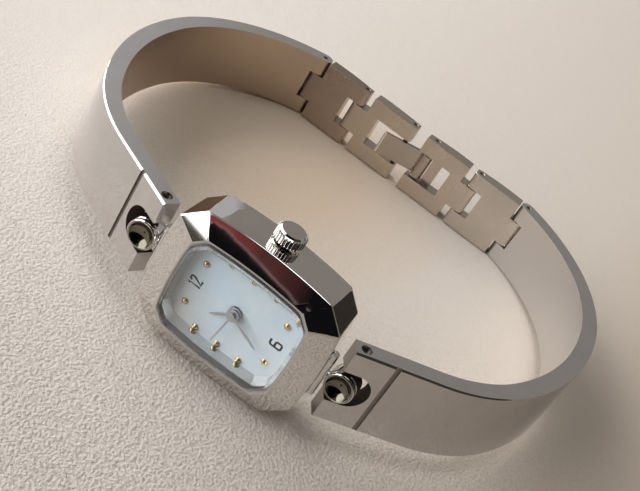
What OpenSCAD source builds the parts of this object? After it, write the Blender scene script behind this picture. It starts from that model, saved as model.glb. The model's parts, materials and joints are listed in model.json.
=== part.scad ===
// Bangle wristwatch: a small eight-sided case between two rigid curved arms, closed
// behind the wrist by four hinged links and a hook clasp. It lies on its 9 o'clock side.
// +X points to 6 o'clock, +Y from the dial into the wrist and +Z to the crown.

/* [Case] */
// Length of the case at the middle of its ends, 12 to 6 o'clock
case_len = 19.9; // [19:0.1:20.6]
// Width of the case at the middle of its sides, 9 to 3 o'clock
case_wid = 16.3; // [15.6:0.1:18]
// Corner cut of the case
case_cut = 3.2; // [2.6:0.1:3.8]
// Height of the flat side walls
wall_h = 4.8; // [4.6:0.1:6]
// Drop of the sloping bezel from its rim to the side walls
bezel_drop = 1.2; // [0.9:0.1:1.6]
// How far the side walls lean in towards the back
wall_taper = 0.2; // [0.1:0.05:0.5]
// Outward bow of the long sides
side_bow = 0.45; // [0.3:0.05:0.7]
// Outward bow of the short ends
end_bow = 0.3; // [0.2:0.05:0.5]
// Thickness of the press-fit case back
back_t = 0.75; // [0.6:0.05:1.2]

/* [Crystal and dial] */
// Width of the sloping bezel at the 12 and 6 o'clock ends
bezel_end = 2.85; // [2.6:0.05:3.1]
// Width of the sloping bezel at the sides
bezel_side = 2.2; // [2:0.05:2.4]
// Corner cut of the opening
open_cut = 1.9; // [1.6:0.1:2.4]
// How much the ends of that cut are blunted
open_blunt = 0.1; // [0.08:0.02:0.2]
// Flat rim round the opening
rim_w = 0.15; // [0.1:0.05:0.3]
// Width of the black gasket round the crystal
gasket_w = 0.12; // [0.08:0.02:0.2]
// Thickness of the crystal
glass_t = 0.9; // [0.8:0.05:1.2]
// How far the crystal stands out of the bezel
glass_proud = 0.35; // [0.2:0.05:0.45]
// Depth of the dial face below the rim
dial_depth = 1.75; // [1.75:0.05:2]
// Thickness of the dial
dial_t = 0.4; // [0.3:0.05:0.5]
// Width of the polished flange between the opening and the dial, at the ends
flange_end = 0.65; // [0.5:0.05:0.9]
// The same at the sides
flange_side = 1.15; // [1:0.05:1.3]
// Diameter of each hour stud
stud_d = 0.74; // [0.5:0.02:0.9]

/* [Hands] */
// Length of the hour hand from its centre
hour_len = 2.7; // [2.2:0.1:3]
// Length of the minute hand from its centre
minute_len = 3.85; // [3:0.05:4]
// Length of the second hand from its centre
second_len = 3.8; // [3:0.05:4]
// Hour hand, degrees clockwise from 12
hour_angle = 323; // [0:1:359]
// Minute hand, degrees clockwise from 12
minute_angle = 203.5; // [0:0.5:359]
// Second hand, degrees clockwise from 12
second_angle = 278.5; // [0:0.5:359]
// Thickness of the hands
hand_t = 0.08; // [0.06:0.01:0.1]

/* [Crown] */
// Diameter of the crown
crown_d = 3.3; // [2.8:0.1:3.4]
// Height of the crown
crown_h = 1.4; // [1.2:0.05:1.8]
// Gap between the crown and the case
crown_gap = 0.2; // [0.15:0.05:0.4]
// Number of flutes round the crown
flutes = 30; // [24:1:36]
// Depth of the stem behind the bezel rim
stem_depth = 4.5; // [4.4:0.05:4.6]
// Travel of the crown when it is pulled to set the time
crown_pull = 0.6; // [0.4:0.1:0.7]

/* [Lugs] */
// Distance from each end of the case to its arm hinge
hinge_gap = 2.25; // [2.15:0.05:2.6]
// Depth of the arm hinge behind the rim
hinge_depth = 3.35; // [3.2:0.05:3.6]
// Diameter of the round lug cup
cup_d = 3.3; // [3.1:0.1:3.5]
// Diameter of the polished bowl in the cup
bowl_d = 2.8; // [2.2:0.1:2.8]
// Depth of the bowl
bowl_depth = 0.75; // [0.4:0.05:0.8]
// Diameter of the arm hinge pin
hinge_pin_d = 1.2; // [0.8:0.05:1.25]

/* [Arms] */
// Width of each arm at the case
arm_wid = 9.3; // [8.6:0.1:10]
// Thickness of the arms and links
band_t = 2; // [1.8:0.05:2.2]
// Angle at which the arm leaves its hinge
arm_angle = 28.3; // [25:0.1:31]
// Straight length behind the hinge
arm_straight = 8.4; // [7.6:0.1:9]
// Radius of the shoulder bend
shoulder_r = 17.9; // [17:0.1:19]
// Turn of the shoulder bend
shoulder_turn = 33.4; // [31:0.1:36]
// Radius of the side bend
side_r = 30.6; // [29:0.1:32]
// Turn of the side bend
side_turn = 36.2; // [34:0.1:38]
// Radius of the bend towards the clasp
heel_r = 22.2; // [21:0.1:23]
// Turn of the bend towards the clasp
heel_turn = 60.6; // [59:0.1:63]
// Length of arm in front of its hinge
arm_lap = 1.15; // [1.05:0.05:1.2]
// Radius of the round notch that clears the cup
notch_r = 2.05; // [1.9:0.05:2.2]
// Centre of the round notch behind the hinge
notch_back = 0.6; // [0.5:0.05:1]
// Distance of the engraved line behind the hinge
line_back = 3.2; // [3.1:0.1:4.5]
// Width of the engraved line
line_w = 0.55; // [0.2:0.05:0.6]
// Chamfer on the outer edges of the arms
edge_chamfer = 0.2; // [0.1:0.05:0.3]

/* [Clasp links] */
// Width of the links
link_wid = 8.4; // [8:0.1:8.6]
// Fall of each link's bowed outer face from its middle to its pins
link_bow = 0.25; // [0.15:0.05:0.3]
// Width of each tongue
tongue_w = 3.84; // [3.4:0.02:4.2]
// Side clearance between a tongue and its fork
tongue_gap = 0.08; // [0.05:0.01:0.15]
// Diameter of the link pins
pin_d = 0.7; // [0.6:0.05:0.8]
// Pin to pin length of the first link, on the 12 o'clock side
link_1_len = 6.95; // [6:0.05:7.5]
// Length of the second link from its pin to the catch bar
link_2_len = 7.8; // [7.4:0.05:8.4]
// Distance from the catch bar to the hook pin
catch_gap = 3.55; // [3.3:0.05:3.8]
// Pin to pin length of the third link
link_3_len = 7.1; // [6.8:0.05:7.6]
// Length of the opening in the second link, behind the bar
catch_open = 4.45; // [4:0.05:4.9]
// Length of the slot in the third link
slot_len = 1.45; // [1:0.05:1.8]
// Reach of the fork prongs beyond the catch bar
bar_reach = 0.65; // [0.5:0.05:0.8]
// Reach of the fork prongs beyond the hook pin
hook_reach = 1.25; // [1:0.05:1.3]
// Free gap at the open joints
open_gap = 0.65; // [0.3:0.05:0.8]
// Free gap at the two joints next to the arms
snug_gap = 0.15; // [0.1:0.01:0.25]

/* [Hook] */
// Width of the hook blade
blade_w = 3.2; // [2.4:0.1:3.4]
// Thickness of the hook blade
blade_t = 0.5; // [0.4:0.05:0.7]
// Length of the blade from the hook pin to its nose
blade_len = 6.4; // [6:0.1:7]
// Lift of the blade towards its nose, degrees
blade_lift = 19; // [19:0.5:21]
// Clearance of the blade over the catch bar
blade_gap = 0.06; // [0.05:0.01:0.1]

/* [Hidden] */
$fn = 72;
eps = 0.01;
run_fit = 0.04;
press_fit = 0.01;

// Case outline, half sizes, and the arcs that its bowed sides share
cl = case_len / 2;
cw = case_wid / 2;
side_chord = cl - case_cut;
end_chord = cw - case_cut;
side_off = (side_chord * side_chord + side_bow * side_bow) / (2 * side_bow) - cw;
end_off = (end_chord * end_chord + end_bow * end_bow) / (2 * end_bow) - cl;
case_depth = bezel_drop + wall_h;
hinge_x = cl + hinge_gap;
back_l = cl - wall_taper;
back_w = cw - wall_taper;
back_cut = case_cut - 2 * wall_taper;
function wall_in(depth) = wall_taper * (depth - bezel_drop) / wall_h;
stem_wall = cw - wall_in(stem_depth);

// Opening, crystal, flange and movement bay
ol = cl - bezel_end;
ow = cw - bezel_side;
seat_depth = glass_t - glass_proud;
flange_flare = 0.3;
dl = ol - flange_end;
dw = ow - flange_side;
dial_cut = open_cut - 0.3;
bay_step = 1.15;
bl = dl + bay_step;
bw = dw + bay_step + 0.35;
bay_cut = open_cut + 0.4;
fit_gap = 0.05;
holder_w = 0.8;

// Heights of the hands behind the rim
second_at = seat_depth + 0.2;
minute_at = second_at + 0.28;
hour_at = minute_at + 0.28;

// The arm's centre line, from its hinge through the three bends to the end pin
function turn_centre(p, h, r) = p + r * [-sin(h), cos(h)];
function turn_end(p, h, r, a) = turn_centre(p, h, r) + r * [sin(h + a), -cos(h + a)];
p0 = [hinge_x, hinge_depth];
p1 = p0 + arm_straight * [cos(arm_angle), sin(arm_angle)];
h2 = arm_angle + shoulder_turn;
p2 = turn_end(p1, arm_angle, shoulder_r, shoulder_turn);
h3 = h2 + side_turn;
p3 = turn_end(p2, h2, side_r, side_turn);
h4 = h3 + heel_turn;
p4 = turn_end(p3, h3, heel_r, heel_turn);

// Pins along the chain of links, left to right, all on one line
chain_y = p4[1];
pin_a = -p4[0];
pin_b = pin_a + link_1_len;
bar_x = pin_b + link_2_len;
pin_f = bar_x + catch_gap;
pin_dx = pin_f + link_3_len;
pin_e = p4[0];
link_4_len = pin_e - pin_dx;
knuckle_r = band_t / 2;
notch_w = tongue_w + 2 * tongue_gap;
open_reach = 0.75 * knuckle_r;

// Overall depth, from the crystal to the outside of the links
front_y = -glass_proud;
back_y = chain_y + band_t / 2;

// Stands the watch on its 9 o'clock wall, centred over the origin
module placed() {
    translate([0, -(front_y + back_y) / 2, cw]) children();
}

// Local frame with +Z into the case and +Y towards 9 o'clock
module facing() {
    placed() rotate([-90, 0, 0]) children();
}

// Local frame along the stem, with +Z out of the case towards the crown
module along_stem() {
    facing() translate([0, 0, stem_depth]) rotate([90, 0, 0]) children();
}

// Prism whose half width across a corner grows from q0 at depth d0 to q1 at d1
module corner_prism(turn, q0, q1, d0, d1) {
    rotate([0, 0, turn]) rotate([90, 0, 0])
        linear_extrude(3 * case_len, center = true)
            polygon([[-q0, d0], [q0, d0], [q1, d1], [-q1, d1]]);
}

// Eight-sided block with bowed sides, given by half length, half width and corner
// cut at depth d0 and again at depth d1
module cushion(l0, w0, c0, d0, l1, w1, c1, d1) {
    q0 = (l0 + w0 - c0) / sqrt(2);
    q1 = (l1 + w1 - c1) / sqrt(2);
    h = d1 - d0;
    intersection() {
        translate([0, -side_off, d0])
            cylinder(h = h, r1 = side_off + w0, r2 = side_off + w1, $fn = 360);
        translate([0, side_off, d0])
            cylinder(h = h, r1 = side_off + w0, r2 = side_off + w1, $fn = 360);
        translate([-end_off, 0, d0])
            cylinder(h = h, r1 = end_off + l0, r2 = end_off + l1, $fn = 360);
        translate([end_off, 0, d0])
            cylinder(h = h, r1 = end_off + l0, r2 = end_off + l1, $fn = 360);
        corner_prism(45, q0, q1, d0, d1);
        corner_prism(-45, q0, q1, d0, d1);
    }
}

// The same block with straight walls
module cushion_wall(l, w, c, d0, d1) {
    cushion(l, w, c, d0, l, w, c, d1);
}

// Reach of the two corners where a cut meets an end and where it meets a side, in the
// directions halfway between them, less the blunting
blunt_turn = 22.5;
function end_reach(l, w, c) =
    let (e = end_bow * pow((w - c) / end_chord, 2))
    (l - e) * cos(blunt_turn) + (w - c + e) * sin(blunt_turn) - open_blunt;
function side_reach(l, w, c) =
    let (e = side_bow * pow((l - c) / side_chord, 2))
    (l - c + e) * sin(blunt_turn) + (w - e) * cos(blunt_turn) - open_blunt;

// Cushion block whose corner cuts have blunted ends, as the opening and its crystal have
module blunt_cushion(l0, w0, c0, d0, l1, w1, c1, d1) {
    e0 = end_reach(l0, w0, c0);
    e1 = end_reach(l1, w1, c1);
    s0 = side_reach(l0, w0, c0);
    s1 = side_reach(l1, w1, c1);
    intersection() {
        cushion(l0, w0, c0, d0, l1, w1, c1, d1);
        corner_prism(blunt_turn, e0, e1, d0, d1);
        corner_prism(-blunt_turn, e0, e1, d0, d1);
        corner_prism(90 - blunt_turn, s0, s1, d0, d1);
        corner_prism(blunt_turn - 90, s0, s1, d0, d1);
    }
}

// The same block with straight walls
module blunt_wall(l, w, c, d0, d1) {
    blunt_cushion(l, w, c, d0, l, w, c, d1);
}

// Case with sloping bezel, crystal seat, flange, movement bay and lug sockets
module case_body() {
    facing() color("silver") difference() {
        union() {
            cushion(ol + rim_w, ow + rim_w, open_cut, 0, cl, cw, case_cut, bezel_drop);
            cushion(cl, cw, case_cut, bezel_drop, back_l, back_w, back_cut, case_depth);
            for (side = [-1, 1]) translate([side * cl, 0, neck_depth - 0.2])
                rotate([90, 0, 0]) cylinder(h = lug_bar_len, r = lug_bar_r, center = true);
        }
        blunt_wall(ol, ow, open_cut, -1, seat_depth);
        blunt_cushion(dl + flange_flare, dw + flange_flare, dial_cut, seat_depth - eps,
            dl, dw, dial_cut, dial_depth + eps);
        cushion_wall(bl, bw, bay_cut, dial_depth, case_depth + 1);
        translate([0, 0, stem_depth]) rotate([90, 0, 0])
            cylinder(h = cw + 1, d = tube_d + 2 * press_fit);
        for (side = [-1, 1]) translate([side * (cl - socket_in), 0, neck_depth])
            rotate([0, side * 90, 0]) cylinder(h = socket_in + 2 * lug_bar_r, d = neck_d + 2 * press_fit);
    }
}
neck_d = 1;
neck_depth = 2.65;
socket_in = 0.7;
lug_bar_len = 5.4;
lug_bar_r = 0.55;

// Press-fit back with a lip that enters the bay and a small pry notch
back_in = 0.15;
lip_h = 0.5;
lip_w = 0.6;
module case_back() {
    facing() color("silver") difference() {
        union() {
            intersection() {
                cushion_wall(back_l - back_in, back_w - back_in, back_cut,
                    case_depth, case_depth + back_t);
                cushion(back_l + 0.6, back_w + 0.6, back_cut, case_depth,
                    back_l - back_in - 0.5, back_w - back_in - 0.5, back_cut, case_depth + back_t);
            }
            cushion_wall(bl - fit_gap, bw - fit_gap, bay_cut, case_depth - lip_h, case_depth + eps);
        }
        cushion_wall(bl - lip_w, bw - lip_w, bay_cut, case_depth - 1, case_depth - eps);
        translate([-back_l, -1.2, case_depth - eps]) cube([back_in + 0.6, 2.4, 0.3]);
    }
}

// Rubber ring under the lip of the back
module back_gasket() {
    facing() color("dimgray") difference() {
        cushion_wall(bl - fit_gap, bw - fit_gap, bay_cut,
            case_depth - lip_h - gasket_h, case_depth - lip_h);
        cushion_wall(bl - lip_w, bw - lip_w, bay_cut,
            case_depth - lip_h - 2 * gasket_h, case_depth);
    }
}
gasket_h = 0.3;

// Flat crystal with a bevelled edge
glass_bevel = 0.3;
module crystal() {
    gl = ol - gasket_w;
    gw = ow - gasket_w;
    facing() color("lightblue", 0.35) intersection() {
        blunt_wall(gl, gw, open_cut, front_y, seat_depth);
        blunt_cushion(gl - glass_bevel, gw - glass_bevel, open_cut, front_y,
            gl - glass_bevel + glass_t, gw - glass_bevel + glass_t, open_cut, seat_depth);
    }
}

// Thin black ring between the crystal and the bezel
module crystal_gasket() {
    facing() color("black") difference() {
        blunt_wall(ol, ow, open_cut, gasket_w / 2, seat_depth);
        blunt_wall(ol - gasket_w, ow - gasket_w, open_cut, -1, seat_depth + 1);
    }
}

// Mother-of-pearl dial, held against the flange
dial_hole_d = 1.5;
module dial() {
    facing() color("aliceblue") difference() {
        cushion_wall(bl - fit_gap, bw - fit_gap, bay_cut, dial_depth, dial_depth + dial_t);
        translate([0, 0, dial_depth - 1]) cylinder(h = dial_t + 2, d = dial_hole_d);
    }
}

// Ten gilt studs at every hour but 12 and 6
stud_h = 0.3;
module stud(x, y) {
    translate([x, y, dial_depth]) rotate([180, 0, 0])
        rotate_extrude($fn = 32) polygon([[0, 0], [stud_d / 2, 0], [stud_d / 2, stud_h * 0.35],
            [stud_d * 0.36, stud_h * 0.75], [stud_d * 0.16, stud_h], [0, stud_h]]);
}
module hour_studs() {
    end_x = dl - 1.55;
    end_y = dw - 2.25;
    side_x = dl - 3.75;
    side_y = dw - 0.45;
    facing() color("gold") union() {
        for (sx = [-1, 1], sy = [-1, 1]) {
            stud(sx * end_x, sy * end_y);
            stud(sx * side_x, sy * side_y);
        }
        for (sy = [-1, 1]) stud(0, sy * (side_y + 0.02));
    }
}

// Plastic ring that centres the movement in the bay
module_top = dial_depth + dial_t;
holder_end = case_depth - lip_h - gasket_h - 0.1;
module movement_holder() {
    facing() color("white") difference() {
        cushion_wall(bl - fit_gap, bw - fit_gap, bay_cut, module_top, holder_end);
        cushion_wall(bl - holder_w, bw - holder_w, bay_cut, module_top - 1, holder_end + 1);
        translate([0, 0, stem_depth]) rotate([90, 0, 0]) cylinder(h = bw + 1, d = stem_d + 0.4);
    }
}

// Movement: plate with a wheel recess under the dial, a cell bay and a stem channel
cell_d = 6.8;
cell_h = 1.6;
cell_x = -2.6;
move_end = holder_end - 0.1;
lever_w = 2;
lever_t = 0.3;
lever_h = 0.9;
lever_at = 3.2;
lever_room = 0.15;
module movement() {
    facing() color("goldenrod") difference() {
        cushion_wall(bl - holder_w - fit_gap, bw - holder_w - fit_gap, bay_cut,
            module_top, move_end);
        translate([cell_x, 1, move_end - cell_h]) cylinder(h = cell_h + 1, d = cell_d + 2 * fit_gap);
        translate([0, 0, module_top - 1]) cylinder(h = recess_depth + 1, d = recess_d);
        translate([0, 0, module_top]) cylinder(h = move_end, d = pivot_d + 2 * run_fit);
        translate([0, 0, stem_depth]) rotate([90, 0, 0]) {
            translate([0, 0, lever_at - 1]) cylinder(h = bw + 1, d = stem_d + 2 * run_fit);
            translate([-lever_w / 2 - lever_room, -lever_h / 2 - lever_room, lever_at - lever_room])
                cube([lever_w + 2 * lever_room, move_end,
                    lever_t + crown_pull + 2 * lever_room]);
        }
    }
}

// Button cell in its bay
module battery_cell() {
    facing() color("lightgray") translate([cell_x, 1, move_end - cell_h])
        rotate_extrude() polygon([[0, 0], [cell_d / 2 - 0.6, 0], [cell_d / 2 - 0.6, 0.3],
            [cell_d / 2, 0.5], [cell_d / 2, cell_h], [0, cell_h]]);
}

// Spring strap over the cell with its screw head
strap_len = 6.4;
strap_w = 1.2;
strap_t = 0.1;
strap_off = 2.4;
module battery_strap() {
    facing() color("silver") translate([cell_x, 1, move_end]) {
        translate([-cell_d / 8, -strap_w / 2 - strap_off, 0]) cube([strap_len, strap_w, strap_t]);
        translate([strap_len - cell_d / 8 - strap_w / 2, -strap_off, 0])
            cylinder(h = 3 * strap_t, d = strap_w * 0.8);
    }
}
stem_d = 0.6;
hour_pipe_d = 1.1;
minute_pipe_d = 0.72;
second_pipe_d = 0.36;
pivot_d = 0.24;
pivot_len = 0.15;
wheel_d = 4.4;
wheel_t = 0.2;
wheel_gap = 0.1;
recess_d = wheel_d + 0.4;
recess_depth = 3 * wheel_t + 4 * wheel_gap;
teeth = 44;

// Toothed wheel with crossed arms; level 0 is the one next to the dial
function wheel_at(level) = module_top + wheel_gap + level * (wheel_t + wheel_gap);
module wheel(level) {
    r = wheel_d / 2;
    step = 360 / teeth;
    translate([0, 0, wheel_at(level)]) linear_extrude(wheel_t) difference() {
        polygon([for (i = [0 : teeth - 1], k = [[0, 0.86], [0.3, 1], [0.5, 1], [0.8, 0.86]])
            r * k[1] * [cos((i + k[0]) * step), sin((i + k[0]) * step)]]);
        for (q = [0 : 3]) rotate(q * 90 + 45) translate([r * 0.56, 0]) circle(r * 0.2);
    }
}

// A hand along local +X, with leaf sides when its middle is wider than its root
module hand(len, root, middle, tip, at, angle) {
    rotate([0, 0, 180 + angle]) translate([0, 0, at]) linear_extrude(hand_t)
        polygon([[-0.1, -root / 2], [len * 0.7, -middle / 2], [len, -tip / 2],
            [len, tip / 2], [len * 0.7, middle / 2], [-0.1, root / 2]]);
}

// A tube on the centre axis from depth d0 to d1
module pipe(d_out, d_in, d0, d1) {
    translate([0, 0, d0]) difference() {
        cylinder(h = d1 - d0, d = d_out);
        if (d_in > 0) translate([0, 0, -1]) cylinder(h = d1 - d0 + 2, d = d_in);
    }
}

// Hour hand, its pipe and the hour wheel
module hour_hand() {
    facing() color("whitesmoke") difference() {
        union() {
            hand(hour_len, 0.3, 0.3, 0.12, hour_at, hour_angle);
            pipe(hub_d, 0, hour_at - 0.04, hour_at + 0.16);
            pipe(hour_pipe_d, 0, hour_at, wheel_at(0) + wheel_t);
            wheel(0);
        }
        translate([0, 0, hour_at - 1]) cylinder(h = 4, d = minute_pipe_d + 2 * run_fit);
    }
}

// Minute hand, its pipe and the centre wheel
module minute_hand() {
    facing() color("whitesmoke") difference() {
        union() {
            hand(minute_len, 0.24, 0.26, 0.12, minute_at, minute_angle);
            pipe(hub_d - 0.2, 0, minute_at - 0.04, minute_at + 0.16);
            pipe(minute_pipe_d, 0, minute_at, wheel_at(1) + wheel_t);
            wheel(1);
        }
        translate([0, 0, minute_at - 1]) cylinder(h = 4, d = second_pipe_d + 2 * run_fit);
    }
}

// Second hand with a small cap, its arbor, pivot and wheel
hub_d = 1.5;
module second_hand() {
    facing() color("whitesmoke") union() {
        hand(second_len, 0.2, 0.18, 0.12, second_at, second_angle);
        pipe(0.8, 0, second_at - 0.06, second_at + 0.14);
        pipe(second_pipe_d, 0, second_at, wheel_at(2) + wheel_t);
        pipe(pivot_d, 0, second_at, wheel_at(2) + wheel_t + wheel_gap + pivot_len);
        wheel(2);
    }
}

// Tube pressed into the case wall, round which the crown turns
tube_d = 1.3;
tube_in = 1.4;
tube_room = 0.1;
module crown_tube() {
    tube_start = stem_wall - tube_in;
    along_stem() color("silver") difference() {
        translate([0, 0, tube_start])
            cylinder(h = crown_base + crown_h - crown_roof - tube_room - tube_start, d = tube_d);
        cylinder(h = 2 * cw, d = stem_d + 2 * run_fit);
    }
}

// Lever that holds the stem in its two positions
groove_d = 0.36;
module setting_lever() {
    along_stem() color("goldenrod") difference() {
        translate([-lever_w / 2, -lever_h / 2, lever_at]) cube([lever_w, lever_h, lever_t]);
        translate([0, 0, lever_at - 1]) cylinder(h = lever_t + 2, d = groove_d + 2 * run_fit);
        translate([-groove_d / 2 - run_fit, -lever_h, lever_at - 1])
            cube([groove_d + 2 * run_fit, lever_h, lever_t + 2]);
    }
}

// Stem with the lever groove, running out to the crown
stem_tip = 0.6;
crown_base = stem_wall + crown_gap;
crown_roof = 0.4;
stem_seat = 0.2;
module stem() {
    out = crown_base + crown_h - crown_roof + stem_seat;
    along_stem() color("silver") union() {
        translate([0, 0, lever_at - stem_tip])
            cylinder(h = stem_tip - run_fit, d = stem_d);
        translate([0, 0, lever_at - stem_tip]) cylinder(h = stem_tip + lever_t + 0.5, d = groove_d);
        translate([0, 0, lever_at + lever_t + run_fit])
            cylinder(h = out - lever_at - lever_t - run_fit, d = stem_d);
    }
}

// Fluted crown with a polished chamfer ring round its flat top
module crown() {
    r = crown_d / 2;
    along_stem() color("silver") translate([0, 0, crown_base]) difference() {
        rotate_extrude($fn = 96) polygon([[0, 0], [r - 0.3, 0], [r - 0.18, 0.12], [r, 0.22],
            [r, crown_h - 0.3], [r - 0.2, crown_h - 0.18], [r - 0.36, crown_h], [0, crown_h]]);
        for (i = [0 : flutes - 1]) rotate([0, 0, i * 360 / flutes])
            translate([r, 0, 0.16]) cylinder(h = crown_h - 0.16 - 0.24, d = 0.24, $fn = 16);
        translate([0, 0, -eps]) cylinder(h = crown_h - crown_roof + eps, d = tube_d + 4 * run_fit);
        cylinder(h = crown_h - crown_roof + stem_seat, d = stem_d + 2 * press_fit);
    }
}

// Round lug cup with its polished bowl, its neck and its hinge bore
cup_top = hinge_depth - 1.5;
cup_h = 2.5;
module lug_cup(side) {
    r = cup_d / 2;
    rb = bowl_d / 2;
    bowl_r = (rb * rb + bowl_depth * bowl_depth) / (2 * bowl_depth);
    facing() color("silver") difference() {
        union() {
            translate([side * hinge_x, 0, cup_top]) rotate_extrude()
                polygon([[0, 0], [r - 0.1, 0], [r, 0.1], [r, 0.5], [r - 0.08, 0.62],
                    [r, 0.74], [r, cup_h - 0.3], [r - 0.3, cup_h], [0, cup_h]]);
            translate([side * (cl - socket_in), 0, neck_depth]) rotate([0, side * 90, 0])
                cylinder(h = hinge_x - cl + socket_in, d = neck_d);
        }
        translate([side * hinge_x, 0, cup_top + bowl_depth - bowl_r]) sphere(r = bowl_r, $fn = 96);
        translate([side * hinge_x, 0, hinge_depth]) rotate([90, 0, 0])
            cylinder(h = 2 * cup_d, d = hinge_pin_d + 2 * run_fit, center = true);
    }
}
module lug_cup_12() {
    lug_cup(-1);
}
module lug_cup_6() {
    lug_cup(1);
}

// Hinge pin across the arm, set back from both edges
pin_setback = 0.45;
module hinge_pin(side) {
    placed() color("gray") translate([side * hinge_x, hinge_depth, 0])
        cylinder(h = arm_wid - 2 * pin_setback, d = hinge_pin_d, center = true);
}
module hinge_pin_12() {
    hinge_pin(-1);
}
module hinge_pin_6() {
    hinge_pin(1);
}

// Cross-section of an arm at distance r from the bend's centre, outer face at the far
// side, with chamfered outer edges
module arm_section(r) {
    o = r + band_t / 2;
    i = r - band_t / 2;
    w = arm_wid / 2;
    c = edge_chamfer;
    polygon([[i, -w], [o - c, -w], [o, -w + c], [o, w - c], [o - c, w], [i, w]]);
}

// One bend of the arm, starting at point p with heading h
module bend(p, h, r, turn) {
    c = turn_centre(p, h, r);
    translate([c[0], c[1], 0]) rotate([0, 0, h - 90])
        rotate_extrude(angle = turn, $fn = 360) arm_section(r);
}

// Core that ties two bends together where they meet at point p with heading h
module bend_core(p, h) {
    translate([p[0], p[1], 0]) rotate([0, 0, h])
        cube([1, band_t - 0.2, link_wid - 1], center = true);
}

// Wedge that narrows the arm from the case to the links
module arm_taper() {
    y0 = hinge_depth;
    w0 = arm_wid / 2;
    k = (arm_wid - link_wid) / 2 / (chain_y - y0);
    e = 5 * band_t;
    rotate([90, 0, 90]) linear_extrude(2 * chain_y) polygon([
        [y0 - e, -w0 - k * e], [chain_y + e, -link_wid / 2 + k * e],
        [chain_y + e, link_wid / 2 - k * e], [y0 - e, w0 + k * e]]);
}

// Rigid arm: forked round the cup at the case and round the link's tongue at the clasp
module arm(side) {
    mirror([side < 0 ? 1 : 0, 0, 0]) difference() {
        intersection() {
            union() {
                translate([p0[0], p0[1], 0]) rotate([0, 0, arm_angle])
                    translate([-arm_lap, 0, 0]) rotate([90, 0, 90])
                        linear_extrude(arm_lap + arm_straight) mirror([1, 0, 0]) arm_section(0);
                bend(p1, arm_angle, shoulder_r, shoulder_turn);
                bend(p2, h2, side_r, side_turn);
                bend(p3, h3, heel_r, heel_turn);
                bend_core(p1, arm_angle);
                bend_core(p2, h2);
                bend_core(p3, h3);
                translate([p4[0], p4[1], 0])
                    cylinder(h = arm_wid, r = knuckle_r, center = true);
            }
            arm_taper();
        }
        translate([p0[0], p0[1], 0]) {
            cylinder(h = 2 * arm_wid, d = hinge_pin_d + 2 * press_fit, center = true);
            rotate([0, 0, arm_angle]) {
                translate([notch_back, 0, 0]) rotate([90, 0, 0])
                    cylinder(h = 3 * band_t, r = notch_r, center = true);
                translate([notch_back - 2 * notch_r, -band_t, -notch_r])
                    cube([2 * notch_r, 2 * band_t, 2 * notch_r]);
                translate([line_back, -band_t / 2 - line_w, -arm_wid])
                    cube([line_w, line_w + line_deep, 2 * arm_wid]);
            }
        }
        translate([p4[0], p4[1], 0]) {
            cylinder(h = 2 * arm_wid, d = pin_d + 2 * press_fit, center = true);
            rotate([0, 0, h4]) translate([-knuckle_r - snug_gap, -band_t, -notch_w / 2])
                cube([3 * band_t, 2 * band_t, notch_w]);
        }
    }
}
line_deep = 0.2;
module arm_12() {
    placed() color("silver") arm(-1);
}
module arm_6() {
    placed() color("silver") arm(1);
}

// Blank of a link from the left pin at x = 0 to the right pin at len: its ends are
// round about the pins, cut off at the given reach, or square where they reach further
module link_blank(len, reach_l, reach_r) {
    bow_r = (pow(len / 2, 2) + pow(link_bow, 2)) / (2 * link_bow);
    intersection() {
        translate([len / 2, band_t / 2 - bow_r, 0])
            cylinder(h = 2 * link_wid, r = bow_r, center = true, $fn = 360);
        union() {
            translate([0, -band_t / 2, -link_wid / 2]) cube([len, band_t, link_wid]);
            cylinder(h = link_wid, r = knuckle_r, center = true);
            translate([len, 0, 0]) cylinder(h = link_wid, r = knuckle_r, center = true);
            if (reach_l > knuckle_r) translate([-reach_l, -band_t / 2, -link_wid / 2])
                cube([reach_l, band_t, link_wid]);
        }
        translate([-reach_l, -band_t, -link_wid])
            cube([len + reach_l + reach_r, 2 * band_t, 2 * link_wid]);
    }
}

// Removes both sides beyond x, on the left or the right, to leave a tongue
module tongue_cut(x, dir) {
    e = link_wid;
    for (s = [-1, 1]) translate([x + dir * e / 2, 0, s * (tongue_w + e) / 2])
        cube([e, e, e], center = true);
}

// Removes the middle between x0 and x1 to leave a fork
module fork_cut(x0, x1) {
    translate([x0, -band_t, -notch_w / 2]) cube([x1 - x0, 2 * band_t, notch_w]);
}

// Bore across a link, a running fit in a tongue and a press fit in a fork
module cross_bore(x, d, fit) {
    translate([x, 0, 0]) cylinder(h = 2 * link_wid, d = d + 2 * fit, center = true);
}

// Places a link whose left pin lies at x on the chain line
module on_chain(x) {
    placed() translate([x, chain_y, 0]) children();
}

// First link: snug tongue into the 12 o'clock arm, open fork to the right
module link_1() {
    on_chain(pin_a) color("rosybrown") difference() {
        link_blank(link_1_len, knuckle_r, open_reach);
        tongue_cut(knuckle_r + snug_gap, -1);
        fork_cut(link_1_len - knuckle_r - open_gap, link_1_len + band_t);
        cross_bore(0, pin_d, run_fit);
        cross_bore(link_1_len, pin_d, press_fit);
    }
}

// Second link: open tongue, and a long fork that carries the catch bar
module link_2() {
    on_chain(pin_b) color("rosybrown") difference() {
        link_blank(link_2_len, open_reach, bar_reach);
        tongue_cut(knuckle_r + open_gap, -1);
        fork_cut(link_2_len - catch_open, link_2_len + band_t);
        cross_bore(0, pin_d, run_fit);
        cross_bore(link_2_len, pin_d, press_fit);
    }
}

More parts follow.
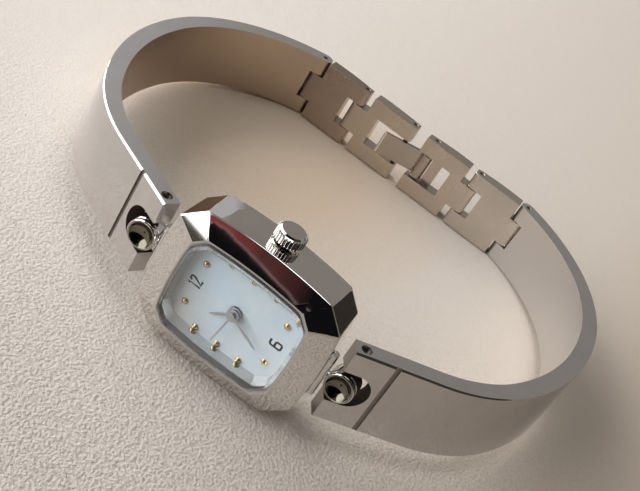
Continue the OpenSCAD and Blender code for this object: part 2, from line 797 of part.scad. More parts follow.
// Third link: short fork for the hook, a sunk bridge and a slot, and an open tongue
heel_room = 0.1;
module link_3() {
    heel = hook_r + heel_room;
    bridge = 1.4;
    on_chain(pin_f) color("rosybrown") difference() {
        link_blank(link_3_len, hook_reach, open_reach);
        fork_cut(-hook_reach - band_t, heel);
        translate([heel - eps, -band_t, -notch_w / 2]) cube([bridge + 2 * eps, band_t, notch_w]);
        fork_cut(heel + bridge, heel + bridge + slot_len);
        tongue_cut(link_3_len - knuckle_r - open_gap, 1);
        cross_bore(0, pin_d, press_fit);
        cross_bore(link_3_len, pin_d, run_fit);
    }
}

// Fourth link: open fork to the left, snug tongue into the 6 o'clock arm
module link_4() {
    on_chain(pin_dx) color("rosybrown") difference() {
        link_blank(link_4_len, open_reach, knuckle_r);
        fork_cut(-band_t, knuckle_r + open_gap);
        tongue_cut(link_4_len - knuckle_r - snug_gap, 1);
        cross_bore(0, pin_d, press_fit);
        cross_bore(link_4_len, pin_d, run_fit);
    }
}

// Pin across the chain at x, a little shorter than the links are wide
module chain_pin(x) {
    on_chain(x) color("gray")
        cylinder(h = link_wid - 2 * pin_inset, d = pin_d, center = true);
}
pin_inset = 0.1;
module link_pin_a() {
    chain_pin(pin_a);
}
module link_pin_b() {
    chain_pin(pin_b);
}
module link_pin_d() {
    chain_pin(pin_dx);
}
module link_pin_e() {
    chain_pin(pin_e);
}
module catch_bar() {
    chain_pin(bar_x);
}
module hook_pin() {
    chain_pin(pin_f);
}

// Hook: a barrel on its pin and a lifted blade that lies over the catch bar
hook_r = 0.8;
hook_side_gap = 0.2;
module clasp_hook() {
    // Height of the blade's outer face above the pin, so that it clears the bar
    face = catch_gap * sin(blade_lift) - (pin_d / 2 + blade_gap);
    nose_r = blade_t / 2;
    on_chain(pin_f) color("lightsteelblue") difference() {
        union() {
            cylinder(h = notch_w - 2 * hook_side_gap, r = hook_r, center = true);
            rotate([0, 0, blade_lift]) {
                translate([-blade_len + nose_r, face - blade_t, -blade_w / 2])
                    cube([blade_len - nose_r, blade_t, blade_w]);
                translate([-blade_len + nose_r, face - nose_r, 0])
                    cylinder(h = blade_w, r = nose_r, center = true);
            }
        }
        cylinder(h = 2 * link_wid, d = pin_d + 2 * run_fit, center = true);
    }
}

case_body();
case_back();
back_gasket();
crystal();
crystal_gasket();
dial();
hour_studs();
movement_holder();
movement();
battery_cell();
battery_strap();
hour_hand();
minute_hand();
second_hand();
crown_tube();
setting_lever();
stem();
crown();
lug_cup_12();
lug_cup_6();
hinge_pin_12();
hinge_pin_6();
arm_12();
arm_6();
link_1();
link_2();
link_3();
link_4();
link_pin_a();
link_pin_b();
link_pin_d();
link_pin_e();
catch_bar();
hook_pin();
clasp_hook();
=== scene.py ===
import bmesh
import bpy
import json
import math
from mathutils import Matrix, Vector


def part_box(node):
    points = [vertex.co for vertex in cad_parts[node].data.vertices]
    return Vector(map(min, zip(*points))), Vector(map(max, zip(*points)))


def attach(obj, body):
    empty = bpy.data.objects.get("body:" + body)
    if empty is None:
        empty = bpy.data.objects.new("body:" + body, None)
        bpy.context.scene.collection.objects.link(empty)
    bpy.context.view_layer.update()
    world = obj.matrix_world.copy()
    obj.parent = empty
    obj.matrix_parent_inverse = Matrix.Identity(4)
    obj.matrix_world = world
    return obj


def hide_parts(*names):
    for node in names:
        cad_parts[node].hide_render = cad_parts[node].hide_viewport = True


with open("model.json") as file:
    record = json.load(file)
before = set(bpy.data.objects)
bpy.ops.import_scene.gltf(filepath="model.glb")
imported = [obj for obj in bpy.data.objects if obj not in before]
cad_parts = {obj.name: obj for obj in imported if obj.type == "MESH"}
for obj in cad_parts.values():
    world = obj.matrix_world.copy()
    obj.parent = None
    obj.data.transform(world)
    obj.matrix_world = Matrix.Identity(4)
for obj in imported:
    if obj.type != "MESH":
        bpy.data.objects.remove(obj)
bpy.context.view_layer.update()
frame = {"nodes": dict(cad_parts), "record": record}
nodes = frame["nodes"]
mm = 0.001

# Camera at the photograph's angle, in metres and in the watch's own frame
view = {
    "place": (0.015601, -0.115285, 0.077767),
    "right": (0.78921, 0.40191, 0.46435),
    "up": (-0.60342, 0.36694, 0.70798),
    "back": (0.11415, -0.83894, 0.53211),
    "lens": 67.225,
    "sensor": 36,
    "clip": (0.005, 10),
}


def setCamera():
    data = bpy.data.cameras.new("viewCamera")
    data.lens = view["lens"]
    data.sensor_width = view["sensor"]
    data.clip_start, data.clip_end = view["clip"]
    cam = bpy.data.objects.new("viewCamera", data)
    turn = Matrix([view["right"], view["up"], view["back"]]).transposed().to_4x4()
    cam.matrix_world = Matrix.Translation(view["place"]) @ turn
    bpy.context.scene.collection.objects.link(cam)
    bpy.context.scene.camera = cam


setCamera()
print("camera set")


# Small helpers for working on one object at a time
def clearSelection():
    for o in bpy.context.selected_objects:
        o.select_set(False)


def makeActive(o):
    clearSelection()
    o.select_set(True)
    bpy.context.view_layer.objects.active = o


# Puts the object's place into its mesh
def settle(o):
    makeActive(o)
    bpy.ops.object.transform_apply(location=True, rotation=True, scale=True)


def applyAll(o):
    makeActive(o)
    for m in list(o.modifiers):
        bpy.ops.object.modifier_apply(modifier=m.name)


# Node helpers for materials
def newMaterial(name):
    mat = bpy.data.materials.new(name)
    mat.use_nodes = True
    return mat, mat.node_tree, mat.node_tree.nodes["Principled BSDF"]


def addNode(tree, kind, inputs=(), **props):
    n = tree.nodes.new(kind)
    for k, v in props.items():
        setattr(n, k, v)
    for k, v in dict(inputs).items():
        n.inputs[k].default_value = v
    return n


def objectCoords(tree, scale, turn=(0, 0, 0)):
    tex = addNode(tree, "ShaderNodeTexCoord")
    mapping = addNode(tree, "ShaderNodeMapping", {"Scale": scale, "Rotation": turn})
    tree.links.new(tex.outputs["Object"], mapping.inputs["Vector"])
    return mapping.outputs["Vector"]


def noise(tree, vector, scale, detail=3, rough=0.55):
    n = addNode(tree, "ShaderNodeTexNoise", {"Scale": scale, "Detail": detail, "Roughness": rough})
    tree.links.new(vector, n.inputs["Vector"])
    return n.outputs["Fac"]


def remap(tree, value, low, high, fromLow=0.3, fromHigh=0.7):
    span = {"From Min": fromLow, "From Max": fromHigh, "To Min": low, "To Max": high}
    n = addNode(tree, "ShaderNodeMapRange", span)
    tree.links.new(value, n.inputs["Value"])
    return n.outputs["Result"]


# Each colour is three numbers or another node's output
def mixColours(tree, factor, a, b):
    n = addNode(tree, "ShaderNodeMix", data_type="RGBA")
    for side, colour in (("A", a), ("B", b)):
        if isinstance(colour, tuple):
            n.inputs[side].default_value = (*colour, 1)
        else:
            tree.links.new(colour, n.inputs[side])
    tree.links.new(factor, n.inputs["Factor"])
    return n.outputs["Result"]


def multiplyColours(tree, a, b):
    n = addNode(tree, "ShaderNodeMix", {"Factor": 1}, data_type="RGBA", blend_type="MULTIPLY")
    tree.links.new(a, n.inputs["A"])
    tree.links.new(b, n.inputs["B"])
    return n.outputs["Result"]


def alongAxis(tree, vector, axis):
    n = addNode(tree, "ShaderNodeVectorMath", operation="DOT_PRODUCT")
    n.inputs[1].default_value = axis
    tree.links.new(vector, n.inputs[0])
    return n.outputs["Value"]


def bump(tree, height, strength, distance, under=None):
    n = addNode(tree, "ShaderNodeBump", {"Strength": strength, "Distance": distance})
    tree.links.new(height, n.inputs["Height"])
    if under is not None:
        tree.links.new(under, n.inputs["Normal"])
    return n.outputs["Normal"]


# Polished and satin steels. Scratches are fine lines, hazy patches vary the roughness.
steelLook = {
    "patches": (260, 4),        # scale and detail of the hazy patches
    "dull": 0.93,               # colour in the patches, against the clean steel
    "grainScale": (900, 900, 9000),
    "grain": (1, 2),            # scale and detail of the brushed grain's noise
    "grainDepth": 0.00002,
    "scratchScale": (700, 3800, 1500),
    "scratchTurn": (0.4, 0.7, 0.5),
    "scratches": (1, 5, 0.75),  # scale, detail and roughness of the scratches' noise
    "scratchRange": (0.66, 0.8),
    "scratchDepth": 0.000012,
}


def makeSteel(name, colour, smooth, hazy, grain=0.0, marks=0.15):
    mat, tree, shader = newMaterial(name)
    shader.inputs["Metallic"].default_value = 1
    coords = objectCoords(tree, (1, 1, 1))
    patches = noise(tree, coords, *steelLook["patches"])
    tree.links.new(remap(tree, patches, smooth, hazy), shader.inputs["Roughness"])
    dull = tuple(c * steelLook["dull"] for c in colour)
    tone = mixColours(tree, remap(tree, patches, 0, 1), colour, dull)
    tree.links.new(tone, shader.inputs["Base Color"])
    normal = None
    if grain:
        lines = noise(tree, objectCoords(tree, steelLook["grainScale"]), *steelLook["grain"])
        normal = bump(tree, lines, grain, steelLook["grainDepth"])
    scratchCoords = objectCoords(tree, steelLook["scratchScale"], steelLook["scratchTurn"])
    scratches = noise(tree, scratchCoords, *steelLook["scratches"])
    lines = remap(tree, scratches, 0, 1, *steelLook["scratchRange"])
    normal = bump(tree, lines, marks, steelLook["scratchDepth"], normal)
    tree.links.new(normal, shader.inputs["Normal"])
    return mat


finishes = {
    "case": dict(colour=(0.75, 0.725, 0.70), smooth=0.015, hazy=0.03, marks=0.05),
    "crown": dict(colour=(0.77, 0.745, 0.71), smooth=0.05, hazy=0.1, marks=0.05),
    # The cups' bowls are painted dark: painted shade and dark reflection in the hollow.
    "bowl": dict(colour=(0.19, 0.18, 0.14), smooth=0.06, hazy=0.12, marks=0.05),
    "groove": dict(colour=(0.34, 0.31, 0.29), smooth=0.4, hazy=0.5),
    "seat": dict(colour=(0.68, 0.66, 0.64), smooth=0.5, hazy=0.6),
    # The links share one steel, painted darker on link_1 and paler on link_4: painted shade and
    # painted light.
    "link": dict(colour=(0.61, 0.54, 0.475), smooth=0.24, hazy=0.36, grain=0.25, marks=0.03),
    "linkPaintedShade": dict(colour=(0.47, 0.39, 0.33), smooth=0.24, hazy=0.36, grain=0.25, marks=0.03),
    "linkPaintedLight": dict(colour=(0.64, 0.585, 0.525), smooth=0.24, hazy=0.36, grain=0.25, marks=0.03),
    # The pins are painted dark: painted shade of the holes and gaps they sit in.
    "pin": dict(colour=(0.16, 0.13, 0.11), smooth=0.3, hazy=0.45),
    "hook": dict(colour=(0.46, 0.415, 0.365), smooth=0.16, hazy=0.26),
    # The hook's rounded end is pale bluish steel: a painted highlight.
    "nose": dict(colour=(0.86, 0.90, 0.97), smooth=0.1, hazy=0.16),
    "hand": dict(colour=(0.60, 0.62, 0.65), smooth=0.25, hazy=0.35, marks=0.05),
    "cell": dict(colour=(0.70, 0.70, 0.69), smooth=0.25, hazy=0.4, grain=0.2),
    "plate": dict(colour=(0.72, 0.60, 0.38), smooth=0.25, hazy=0.4, grain=0.2),
}
steels = {k: makeSteel(k + "Steel", **v) for k, v in finishes.items()}


# The arms are polished outside and satin on the edges and inside. Inside, the 12 arm has a painted
# brown shade and the 6 arm a pale lit tone.
# Outside and inside are told apart by how far a face looks away from the bangle's middle.
armLook = {
    "steel": dict(colour=(0.67, 0.65, 0.64), smooth=0.07, hazy=0.13),
    "middle": (0, 0.0005, 0),
    "satin": 0.33,
    "outside": (0.1, 0.35),
    "inside": (-0.5, -0.15),
    "paintedShades": {"armPaintedShade": (0.51, 0.41, 0.325), "armPaintedLight": (0.68, 0.66, 0.65)},
}


def makeArmSteel(name, inside):
    mat = makeSteel(name, **armLook["steel"])
    tree = mat.node_tree
    shader = tree.nodes["Principled BSDF"]
    tex = addNode(tree, "ShaderNodeTexCoord")
    centre = addNode(tree, "ShaderNodeVectorMath", operation="SUBTRACT")
    centre.inputs[1].default_value = armLook["middle"]
    flat = addNode(tree, "ShaderNodeVectorMath", operation="MULTIPLY")
    flat.inputs[1].default_value = (1, 1, 0)
    unit = addNode(tree, "ShaderNodeVectorMath", operation="NORMALIZE")
    dot = addNode(tree, "ShaderNodeVectorMath", operation="DOT_PRODUCT")
    tree.links.new(tex.outputs["Object"], centre.inputs[0])
    tree.links.new(centre.outputs[0], flat.inputs[0])
    tree.links.new(flat.outputs[0], unit.inputs[0])
    tree.links.new(unit.outputs[0], dot.inputs[0])
    tree.links.new(tex.outputs["Normal"], dot.inputs[1])
    outside = remap(tree, dot.outputs["Value"], 0, 1, *armLook["outside"])
    mix = addNode(tree, "ShaderNodeMix", data_type="FLOAT")
    mix.inputs["A"].default_value = armLook["satin"]
    polished = shader.inputs["Roughness"].links[0].from_socket
    tree.links.new(outside, mix.inputs["Factor"])
    tree.links.new(polished, mix.inputs["B"])
    tree.links.new(mix.outputs["Result"], shader.inputs["Roughness"])
    steelColour = shader.inputs["Base Color"].links[0].from_socket
    # Faces looking towards the bangle's middle take the inside colour: painted shade on the 12 arm.
    notInside = remap(tree, dot.outputs["Value"], 0, 1, *armLook["inside"])
    withPaintedShade = mixColours(tree, notInside, inside, steelColour)
    tree.links.new(withPaintedShade, shader.inputs["Base Color"])
    return mat


steels.update({k: makeArmSteel(k + "Steel", v) for k, v in armLook["paintedShades"].items()})


glassLook = {"tint": (0.97, 0.99, 1, 1), "ior": 1.5, "haze": (900, 4)}


def makeGlass(name, smooth, hazy):
    mat, tree, shader = newMaterial(name)
    shader.inputs["Base Color"].default_value = glassLook["tint"]
    shader.inputs["Transmission Weight"].default_value = 1
    shader.inputs["IOR"].default_value = glassLook["ior"]
    haze = noise(tree, objectCoords(tree, (1, 1, 1)), *glassLook["haze"])
    tree.links.new(remap(tree, haze, smooth, hazy), shader.inputs["Roughness"])
    return mat


# Mother of pearl: two cool tones in swirls, warmer clouds, and a painted warm shadow of the case's
# rim towards 12 and 9
pearlLook = {
    "swirl": (240, 5, 0.6),
    "cool": ((0.72, 0.88, 1.0), (0.86, 0.97, 1.0)),
    "clouds": (120, 3),
    "cloudRange": (0, 0.35, 0.5, 0.75),
    "warm": (0.90, 0.90, 0.93),
    "shade": (0.89, 0.77, 0.69),
    "shadeToward": (1, 0, 0.6),
    "shadeRange": (-0.0022, 0.0029),  # where the shade is full and where it ends, in m
    "roughness": 0.32,
    "coat": 0.6,
    "coatRoughness": 0.08,
}


def makePearl():
    mat, tree, shader = newMaterial("pearlDial")
    coords = objectCoords(tree, (1, 1, 1))
    swirl = noise(tree, coords, *pearlLook["swirl"])
    clouds = remap(tree, noise(tree, coords, *pearlLook["clouds"]), *pearlLook["cloudRange"])
    cool = mixColours(tree, remap(tree, swirl, 0, 1), *pearlLook["cool"])
    clouded = mixColours(tree, clouds, cool, pearlLook["warm"])
    # Painted shadow of the case's rim: the dial is darker and warmer towards 12 and 9.
    toward = alongAxis(tree, coords, pearlLook["shadeToward"])
    shaded = remap(tree, toward, 1, 0, *pearlLook["shadeRange"])
    shade = mixColours(tree, shaded, (1, 1, 1), pearlLook["shade"])
    tree.links.new(multiplyColours(tree, clouded, shade), shader.inputs["Base Color"])
    shader.inputs["Roughness"].default_value = pearlLook["roughness"]
    shader.inputs["Coat Weight"].default_value = pearlLook["coat"]
    shader.inputs["Coat Roughness"].default_value = pearlLook["coatRoughness"]
    return mat


# Rubber, plastic, gilt and ink have one fine grain, which varies colour and roughness
plainLook = {"grain": (1500, 3), "dark": 0.85, "rough": (0.8, 1.2), "bump": (0.1, 0.00001)}


def makePlain(name, colour, rough, metallic=0.0, shine=0.5):
    mat, tree, shader = newMaterial(name)
    grain = noise(tree, objectCoords(tree, (1, 1, 1)), *plainLook["grain"])
    dark = tuple(c * plainLook["dark"] for c in colour)
    tree.links.new(mixColours(tree, grain, dark, colour), shader.inputs["Base Color"])
    low, high = (rough * share for share in plainLook["rough"])
    tree.links.new(remap(tree, grain, low, high), shader.inputs["Roughness"])
    shader.inputs["Metallic"].default_value = metallic
    shader.inputs["Specular IOR Level"].default_value = shine
    tree.links.new(bump(tree, grain, *plainLook["bump"]), shader.inputs["Normal"])
    return mat


others = {
    "glass": makeGlass("clearCrystal", 0, 0.03),
    "glassEdge": makeGlass("groundCrystal", 0.22, 0.3),
    "pearl": makePearl(),
    "rubber": makePlain("blackRubber", (0.03, 0.03, 0.032), 0.5),
    "seal": makePlain("greySeal", (0.5, 0.47, 0.43), 0.35),
    "gilt": makePlain("giltMetal", (0.85, 0.66, 0.36), 0.18, 1),
    "ink": makePlain("blackInk", (0.012, 0.012, 0.015), 0.35),
    "holder": makePlain("whiteHolder", (0.75, 0.75, 0.72), 0.5),
    # Near-black for the walls of the arms' notches: painted shade in the notch.
    "recess": makePlain("paintedNotchShade", (0.045, 0.036, 0.028), 0.8, shine=0.08),
}
print("materials made")


# Dressed copies: the CAD solid with its tiny edge rounds, which catch the light.
# Each has its node, finish, width of the rounds in mm, and angle past which an edge is sharp.
dress = {
    "caseShell": ("case_body", "case", 0.13, 12),
    "caseBack": ("case_back", "case", 0.08, 12),
    "armTwelve": ("arm_12", "armPaintedShade", 0.07, 28),
    "armSix": ("arm_6", "armPaintedLight", 0.07, 28),
    "linkOne": ("link_1", "linkPaintedShade", 0.09, 28),
    "linkTwo": ("link_2", "link", 0.09, 28),
    "linkThree": ("link_3", "link", 0.09, 28),
    "linkFour": ("link_4", "linkPaintedLight", 0.09, 28),
    "claspHook": ("clasp_hook", "hook", 0.08, 28),
    "lugCupTwelve": ("lug_cup_12", "case", 0.04, 28),
    "lugCupSix": ("lug_cup_6", "case", 0.04, 28),
    "crystalPane": ("crystal", "glass", 0.04, 12),
}
copying = {
    "merge": 0.5e-6,   # m, points of the loose triangles that become one
    "flat": 0.2,       # degrees, edges inside a flat face that are dissolved
    "segments": 3,
    "shortest": 0.25,  # mm, shorter edges of the case stay sharp
    "rim": 0.5,        # mm, so do the case's edges this near to the crystal
}


def bodyOf(node):
    for name, members in frame["record"]["behaviour"]["bodies"].items():
        if node in members:
            return name


# The case has fine steps inside, so only its outer edges are rounded
def weighOuterEdges(mesh, sharp):
    low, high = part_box("crystal")
    rim = Vector((copying["rim"], 0, copying["rim"])) * mm
    low, high = low - rim, high + rim
    edit = bmesh.new()
    edit.from_mesh(mesh)
    weight = edit.edges.layers.float.new("bevel_weight_edge")
    for edge in edit.edges:
        outer = any(not (low.x < v.co.x < high.x and low.z < v.co.z < high.z) for v in edge.verts)
        if outer and len(edge.link_faces) == 2 and edge.calc_length() > copying["shortest"] * mm:
            if edge.calc_face_angle() > math.radians(sharp):
                edge[weight] = 1
    edit.to_mesh(mesh)
    edit.free()


def addCopy(pieceName, node, material, width, sharp):
    mesh = nodes[node].data.copy()
    o = bpy.data.objects.new(pieceName, mesh)
    bpy.context.scene.collection.objects.link(o)
    mesh.materials.clear()
    mesh.materials.append(material)
    makeActive(o)
    bpy.ops.object.mode_set(mode="EDIT")
    bpy.ops.mesh.select_all(action="SELECT")
    bpy.ops.mesh.remove_doubles(threshold=copying["merge"])
    bpy.ops.mesh.dissolve_limited(angle_limit=math.radians(copying["flat"]))
    bpy.ops.object.mode_set(mode="OBJECT")
    m = o.modifiers.new("edgeRounds", "BEVEL")
    m.width = width * mm
    m.segments = copying["segments"]
    m.use_clamp_overlap = node != "case_body"
    m.limit_method = "ANGLE"
    m.angle_limit = math.radians(sharp)
    if node == "case_body":
        weighOuterEdges(mesh, sharp)
        m.limit_method = "WEIGHT"
    m.miter_outer = "MITER_ARC"
    bpy.ops.object.shade_smooth_by_angle(angle=math.radians(sharp))
    m = o.modifiers.new("flatFaces", "WEIGHTED_NORMAL")
    m.keep_sharp = True
    applyAll(o)
    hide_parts(node)
    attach(o, bodyOf(node))
    return o


pieces = {}
for pieceName, (node, finish, width, sharp) in dress.items():
    pieces[pieceName] = addCopy(pieceName, node, steels.get(finish) or others[finish], width, sharp)
pieces["crystalPane"].visible_shadow = False  # clear glass leaves the dial lit
print("copies dressed")

# Parts of a piece with another finish, picked by their place in mm from a pin
faceFinishes = {
    "armAngle": 28.3,              # degrees between the arm and the 12 to 6 line
    "lineAlong": (3.18, 3.77),     # engraved line, from the arm's hinge
    "lineDepth": (-0.98, -0.75),
    "notchCentre": 0.6,            # round notch, behind the hinge
    "notchRadius": (1.96, 2.12),
    "notchSlope": 0.3,             # its wall looks less than this towards the wrist
    "noseAlong": -5.2,             # rounded end of the hook, left of its pin
    "bowlRadius": 1.39,            # bowl of the cup, round the hinge
    "crystalSlope": 0.93,          # bevels of the crystal look less than this to the front
    "seatReach": (0.2, 0.3, 0.2),  # seat in the case, round the crystal's box
}


def finishFaces(o, material, test):
    o.data.materials.append(material)
    slot = len(o.data.materials) - 1
    for face in o.data.polygons:
        if test(face):
            face.material_index = slot


def finishArm(o, pin, side):
    low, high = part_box(pin)
    hinge = (low + high) / 2
    angle = math.radians(faceFinishes["armAngle"])
    along = Vector((side * math.cos(angle), math.sin(angle), 0))
    inward = Vector((-side * along.y, side * along.x, 0))

    def onLine(face):
        centre = (face.center - hinge) / mm
        lowAlong, highAlong = faceFinishes["lineAlong"]
        lowDepth, highDepth = faceFinishes["lineDepth"]
        return lowAlong < centre.dot(along) < highAlong and lowDepth < centre.dot(inward) < highDepth

    def inNotch(face):
        centre = (face.center - hinge) / mm
        behind = centre.dot(along) - faceFinishes["notchCentre"]
        reach = math.hypot(max(behind, 0), centre.z)
        near, far = faceFinishes["notchRadius"]
        isWall = abs(face.normal.dot(inward)) < faceFinishes["notchSlope"]
        return isWall and near < reach < far and behind < far

    finishFaces(o, steels["groove"], onLine)
    # Painted shade: the notch walls take the near-black recess material.
    finishFaces(o, others["recess"], inNotch)


def finishCup(o, pin):
    low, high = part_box(pin)
    hinge = (low + high) / 2

    def inBowl(face):
        reach = math.hypot(face.center.x - hinge.x, face.center.z - hinge.z) / mm
        return reach < faceFinishes["bowlRadius"] and face.normal.y < 0

    # Painted shade: the bowl's faces take the dark bowl steel.
    finishFaces(o, steels["bowl"], inBowl)


# The crystal's bevels are ground, and the seat under it is matt
def finishCrystal(pane, shell):
    low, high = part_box("crystal")
    reach = Vector(faceFinishes["seatReach"]) * mm

    def onBevel(face):
        return abs(face.normal.y) < faceFinishes["crystalSlope"]

    def inSeat(face):
        return all(a < c < b for a, c, b in zip(low - reach, face.center, high + reach))

    finishFaces(pane, others["glassEdge"], onBevel)
    finishFaces(shell, steels["seat"], inSeat)


def finishHook(o):
    low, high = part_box("hook_pin")
    noseX = (low.x + high.x) / 2 + faceFinishes["noseAlong"] * mm
    # Painted highlight: the faces past the nose take the pale nose steel.
    finishFaces(o, steels["nose"], lambda face: face.center.x < noseX)


finishArm(pieces["armTwelve"], "hinge_pin_12", -1)
finishArm(pieces["armSix"], "hinge_pin_6", 1)
finishCup(pieces["lugCupTwelve"], "hinge_pin_12")
finishCup(pieces["lugCupSix"], "hinge_pin_6")
finishCrystal(pieces["crystalPane"], pieces["caseShell"])
finishHook(pieces["claspHook"])
print("lines, notches, bowls, crystal edge and nose finished")

plainNodes = {
    "back_gasket": "rubber", "crystal_gasket": "seal", "dial": "pearl", "hour_studs": "gilt",
    "movement_holder": "holder", "movement": "plate", "battery_cell": "cell", "battery_strap": "cell",
    "hour_hand": "hand", "minute_hand": "hand", "second_hand": "hand", "crown_tube": "pin",
    "setting_lever": "plate", "stem": "pin", "hinge_pin_12": "pin", "hinge_pin_6": "pin",
    "link_pin_a": "pin", "link_pin_b": "pin", "link_pin_d": "pin", "link_pin_e": "pin",
    "catch_bar": "pin", "hook_pin": "pin", "crown": "crown",
}
for node, finish in plainNodes.items():
    o = nodes[node]
    o.data.materials.clear()
    o.data.materials.append(steels.get(finish) or others[finish])
print("other nodes finished")

# The figures 12 and 6, as raised strokes. Each stroke is a line of points in mm,
# across towards 3 o'clock and up towards 12 o'clock from the figure's centre.
figures = {
    "twelve": {
        "centre": (-4.97, 0),
        "strokes": [
            [(-0.44, 0.5), (-0.3, 0.66), (-0.3, -0.7)],
            [(0.02, 0.42), (0.1, 0.64), (0.42, 0.64), (0.5, 0.42), (0.46, 0.2), (0.02, -0.64),
             (0.54, -0.64)],
        ],
    },
    "six": {
        "centre": (4.93, 0),
        "strokes": [
            [(0.3, 0.64), (-0.2, 0.64), (-0.33, 0.5), (-0.33, -0.5), (-0.2, -0.64), (0.2, -0.64),
             (0.33, -0.5), (0.33, -0.05), (0.2, 0.08), (-0.33, 0.08)],
        ],
    },
    "lineRadius": 0.125,
    "lineResolution": 2,
    "flatten": 0.25,
    "smoothAngle": 40,
}


def addFigure(name, centre, strokes):
    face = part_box("dial")[0].y
    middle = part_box("case_body")[1].z / 2
    curve = bpy.data.curves.new(name, "CURVE")
    curve.dimensions = "3D"
    curve.bevel_depth = figures["lineRadius"] * mm
    curve.bevel_resolution = figures["lineResolution"]
    curve.use_fill_caps = True
    for stroke in strokes:
        line = curve.splines.new("POLY")
        line.points.add(len(stroke) - 1)
        for p, (across, up) in zip(line.points, stroke):
            p.co = ((centre[0] - up) * mm, 0, (centre[1] + across) * mm, 1)
    o = bpy.data.objects.new(name, curve)
    bpy.context.scene.collection.objects.link(o)
    makeActive(o)
    bpy.ops.object.convert(target="MESH")
    o = bpy.context.view_layer.objects.active
    o.scale = (1, figures["flatten"], 1)
    o.location = (0, face, middle)
    settle(o)
    o.data.materials.clear()
    o.data.materials.append(others["ink"])
    bpy.ops.object.shade_smooth_by_angle(angle=math.radians(figures["smoothAngle"]))
    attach(o, "watch_case")
    return o


for name in ("twelve", "six"):
    addFigure("figure" + name.capitalize(), figures[name]["centre"], figures[name]["strokes"])
print("figures made")

# Floor: off-white paper board, tipped so that the case and the clasp both touch it
floor = {
    "touchCase": (-19.787, 0.2),  # mm along Y and Z where the edge of the case rests
    "touchClasp": (26.1, 3.95),
    "size": 1.6,
    "light": (0.83, 0.765, 0.70),
    # The darker pits are painted shade in the paper's relief, strongest at the near side.
    "paintedPitShade": (0.56, 0.515, 0.47),
    "pitRange": (0.3, 0.55),
    "grain": (1, 0.12, -0.045, 0.008),  # at the near and the far side, and where in Y
    "fine": (3000, 3, 0.55),
    "fineDepth": 0.00033,
    "broad": (330, 4, 0.6),
    "broadBump": (0.2, 0.0004),
    "roughness": 0.85,
    "shine": 0.25,
    "paintedSixSideShade": ((0.86, 0.82, 0.76), -0.03, 0.05),  # painted shade on the paper towards 6 o'clock, in m
    "shade": ((0.82, 0.79, 0.75), 0.020, 0.045),  # painted shade towards the near right, in m
    "shadeToward": (1, -0.15, 0),
    "paintedInsideShade": ((0.92, 0.82, 0.69), 0.027, 0.011),  # painted shade, browner inside the bangle, by its reach in m
    "tanCentre": (-0.014, 0.015, 0.002),
}


def makePaper():
    mat, tree, shader = newMaterial("paperBoard")
    coords = objectCoords(tree, (1, 1, 1))
    fine = noise(tree, coords, *floor["fine"])
    broad = noise(tree, coords, *floor["broad"])
    across = addNode(tree, "ShaderNodeSeparateXYZ")
    tree.links.new(coords, across.inputs[0])
    grain = remap(tree, across.outputs["Y"], *floor["grain"])
    # Painted shade in the pits of the paper's relief, fading towards the far side.
    pitShadeAmount = addNode(tree, "ShaderNodeMath", operation="MULTIPLY")
    tree.links.new(remap(tree, fine, 1, 0, *floor["pitRange"]), pitShadeAmount.inputs[0])
    tree.links.new(grain, pitShadeAmount.inputs[1])
    colour = mixColours(tree, pitShadeAmount.outputs[0], floor["light"], floor["paintedPitShade"])

    reach = addNode(tree, "ShaderNodeVectorMath", operation="DISTANCE")
    reach.inputs[1].default_value = floor["tanCentre"]
    tree.links.new(coords, reach.inputs[0])
    # The paper is painted darker towards 6 o'clock, towards the near right and inside the bangle:
    # painted shade.
    paintedShades = {
        "paintedSixSideShade": across.outputs["X"],
        "shade": alongAxis(tree, coords, floor["shadeToward"]),
        "paintedInsideShade": reach.outputs["Value"],
    }
    for name, value in paintedShades.items():
        tint, start, end = floor[name]
        part = remap(tree, value, 0, 1, start, end)
        colour = multiplyColours(tree, colour, mixColours(tree, part, (1, 1, 1), tint))
    tree.links.new(colour, shader.inputs["Base Color"])
    shader.inputs["Roughness"].default_value = floor["roughness"]
    shader.inputs["Specular IOR Level"].default_value = floor["shine"]
    low = bump(tree, broad, *floor["broadBump"])
    high = bump(tree, fine, 1, floor["fineDepth"], low)
    tree.links.new(grain, high.node.inputs["Strength"])
    tree.links.new(high, shader.inputs["Normal"])
    return mat


def addFloor():
    clearSelection()
    bpy.ops.mesh.primitive_plane_add(size=floor["size"], location=(0, 0, 0))
    o = bpy.context.object
    o.name = "paperFloor"
    nearY, nearZ = floor["touchCase"]
    farY, farZ = floor["touchClasp"]
    o.rotation_euler = (math.atan2(farZ - nearZ, farY - nearY), 0, 0)
    o.location = (0, nearY * mm, nearZ * mm)
    o.data.materials.append(makePaper())
    settle(o)


addFloor()

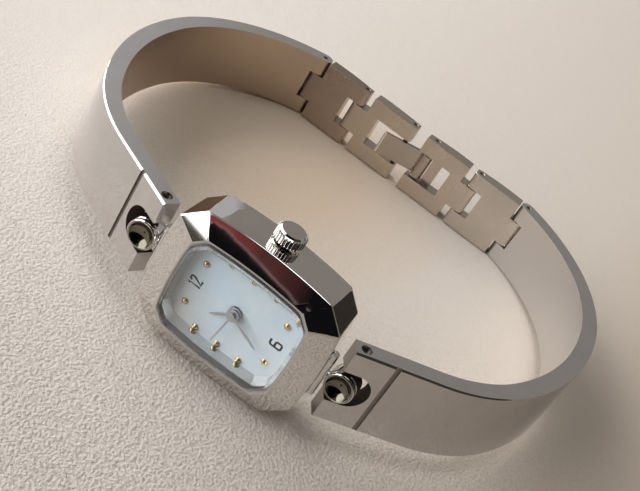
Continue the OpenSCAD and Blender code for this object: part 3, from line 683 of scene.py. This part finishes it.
# Light: one soft window on the left. The quiet room round it gives a weak fill, and the
# polished metal shows it: each patch is a round spot of the room's wall with a soft rim,
# and outer and inner are the cosines where the rim starts and ends.
lights = {
    "window": dict(place=(-0.30, 0.10, 0.145), size=(0.26, 0.26), energy=0.93,
                   colour=(1, 0.985, 0.96)),
}
room = {
    "horizon": (0.29, 0.265, 0.235),
    "zenith": (0.235, 0.225, 0.215),
    "rise": (0.25, 0.8),  # heights where the horizon's colour ends and the zenith's starts
    "patches": {
        "darkFront": dict(toward=(0.35, -0.80, 0.46), outer=0.66, inner=0.74,
                          colour=(0.006, 0.006, 0.007)),
        "maroonWall": dict(toward=(-0.33, -0.852, 0.41), outer=0.94, inner=0.975,
                           colour=(0.10, 0.033, 0.033)),
        "redWall": dict(toward=(-0.33, -0.852, 0.41), outer=0.985, inner=1.0,
                        colour=(0.27, 0.05, 0.05)),
        "paleStreak": dict(toward=(-0.1024, -0.8240, -0.5572), outer=0.5078, inner=0.5083,
                           colour=(0.28, 0.19, 0.185)),
        "darkBelow": dict(toward=(-0.1024, -0.8240, -0.5572), outer=0.5092, inner=0.5097,
                          colour=(0.006, 0.006, 0.007)),
        "window": dict(toward=(-0.80, -0.50, 0.33), outer=0.86, inner=0.89,
                       colour=(3.0, 3.0, 3.05)),
        "paleWall": dict(toward=(-0.74, 0.58, 0.35), outer=0.857, inner=0.869,
                         colour=(0.50, 0.50, 0.515)),
        "darkCorner": dict(toward=(0.78, -0.1, 0.62), outer=0.90, inner=0.94,
                           colour=(0.05, 0.045, 0.04)),
        "ceiling": dict(toward=(0, 0, 1), outer=0.96, inner=0.975,
                        colour=(2.6, 2.6, 2.65)),
        "lowCorner": dict(toward=(0.56, 0.826, 0.065), outer=0.975, inner=0.985,
                          colour=(0.035, 0.03, 0.025)),
    },
    "edge": dict(low=-0.050, high=-0.0465, colour=(0.07, 0.065, 0.05)),  # far edge of the table
}


def addLight(name, place, size, energy, colour):
    data = bpy.data.lights.new(name, "AREA")
    data.shape = "RECTANGLE"
    data.size, data.size_y = size
    data.energy = energy
    data.color = colour
    o = bpy.data.objects.new(name, data)
    bpy.context.scene.collection.objects.link(o)
    aim = -Vector(place)
    o.matrix_world = Matrix.Translation(place) @ aim.to_track_quat("-Z", "Y").to_matrix().to_4x4()


for name, settings in lights.items():
    addLight(name, **settings)


def makeRoom():
    world = bpy.data.worlds.new("quietRoom")
    bpy.context.scene.world = world
    world.use_nodes = True
    tree = world.node_tree
    back = tree.nodes["Background"]
    tex = addNode(tree, "ShaderNodeTexCoord")
    direction = tex.outputs["Generated"]
    split = addNode(tree, "ShaderNodeSeparateXYZ")
    tree.links.new(direction, split.inputs[0])
    height = remap(tree, split.outputs["Z"], 0, 1, *room["rise"])
    colour = mixColours(tree, height, room["horizon"], room["zenith"])
    for patch in room["patches"].values():
        nearness = alongAxis(tree, direction, Vector(patch["toward"]).normalized())
        inside = remap(tree, nearness, 0, 1, patch["outer"], patch["inner"])
        colour = mixColours(tree, inside, colour, patch["colour"])
    edge = room["edge"]
    above = remap(tree, split.outputs["Z"], 0, 1, edge["low"], edge["high"])
    tree.links.new(mixColours(tree, above, edge["colour"], colour), back.inputs["Color"])
    back.inputs["Strength"].default_value = 1


makeRoom()
bpy.context.scene.view_settings.view_transform = "Standard"
print("floor, lights and room made")
